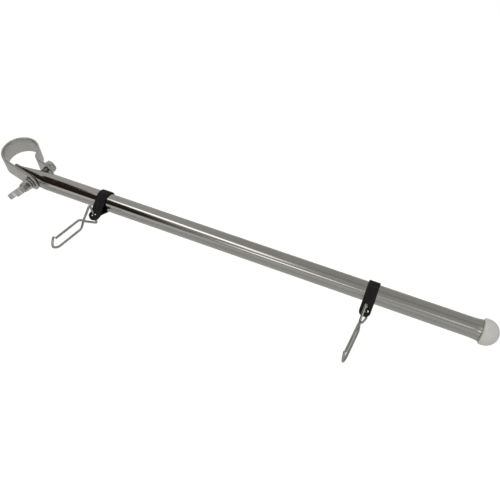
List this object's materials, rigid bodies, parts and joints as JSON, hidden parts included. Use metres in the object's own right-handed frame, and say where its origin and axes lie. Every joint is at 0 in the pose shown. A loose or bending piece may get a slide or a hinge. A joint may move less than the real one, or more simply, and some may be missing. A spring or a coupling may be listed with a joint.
{
  "type": "rail-mount flagstaff",
  "caption": "Short stainless flagstaff whose crushed end is bolted in a strap clamp for a boat's rail, with strap bands and wire snaps for the flag and a domed cap.",
  "frame": {"origin": "centre of the clamp's ring, at the middle of the strap's width", "axes": "+X along the staff from the clamp to the cap, +Z along the ring's axis, +Y to the back of the clamp, where the bolt's head is; the flag bands' tabs point to -Y"},
  "size_m": [0.4597, 0.1017, 0.0286],
  "materials": {
    "polished_tube": "polished stainless steel, satin toward the cap",
    "satin_strap": "satin stainless strip",
    "polished_fastener": "tumbled stainless",
    "wire": "bright drawn stainless wire",
    "black_band": "matte black",
    "white_cap": "off-white moulded"
  },
  "bodies": {
    "clamp": {"clamp_strap": "satin_strap", "clamp_bolt": "polished_fastener", "head_washer": "polished_fastener"},
    "thumb_washer": {"thumb_washer": "polished_fastener"},
    "wing_nut": {"wing_nut": "polished_fastener"},
    "staff": {"staff_tube": "polished_tube"},
    "cap": {"end_cap": "white_cap"},
    "lower_band": {"flag_band_lower": "black_band"},
    "lower_snap": {"wire_snap_lower": "wire"},
    "upper_band": {"flag_band_upper": "black_band"},
    "upper_snap": {"wire_snap_upper": "wire"}
  },
  "joints": [
    {"name": "staff_tilt", "type": "hinge", "parent": "clamp", "child": "staff", "pos_m": [0.0282, -0.01361, 0], "axis": [0.2334, 0.9724, 0], "range_deg": [-90, 90]},
    {"name": "wing_travel", "type": "slide", "parent": "clamp", "child": "thumb_washer", "axis": [-0.2334, -0.9724, 0], "range_m": [0, 0.006]},
    {"name": "wing_spin", "type": "hinge", "parent": "thumb_washer", "child": "wing_nut", "pos_m": [0.02376, -0.03211, 0], "axis": [-0.2334, -0.9724, 0], "range_deg": [0, 2160]},
    {"name": "lower_band_slide", "type": "slide", "parent": "staff", "child": "lower_band", "axis": [1, 0, 0], "range_m": [-0.015, 0.07]},
    {"name": "lower_snap_swing", "type": "hinge", "parent": "lower_band", "child": "lower_snap", "pos_m": [0.09852, -0.03452, 0], "axis": [0, 0, 1], "range_deg": [-60, 60]},
    {"name": "upper_band_slide", "type": "slide", "parent": "staff", "child": "upper_band", "axis": [1, 0, 0], "range_m": [-0.06, 0.07]},
    {"name": "upper_snap_swing", "type": "hinge", "parent": "upper_band", "child": "upper_snap", "pos_m": [0.34394, -0.03463, 0], "axis": [0, 0, 1], "range_deg": [-60, 60]},
    {"name": "cap_pull", "type": "slide", "parent": "staff", "child": "cap", "axis": [1, 0, 0], "range_m": [0, 0.02]}
  ],
  "couplings": [
    {"joint": "wing_travel", "follows": "wing_spin", "m_per_rad": 0.00015915}
  ]
}
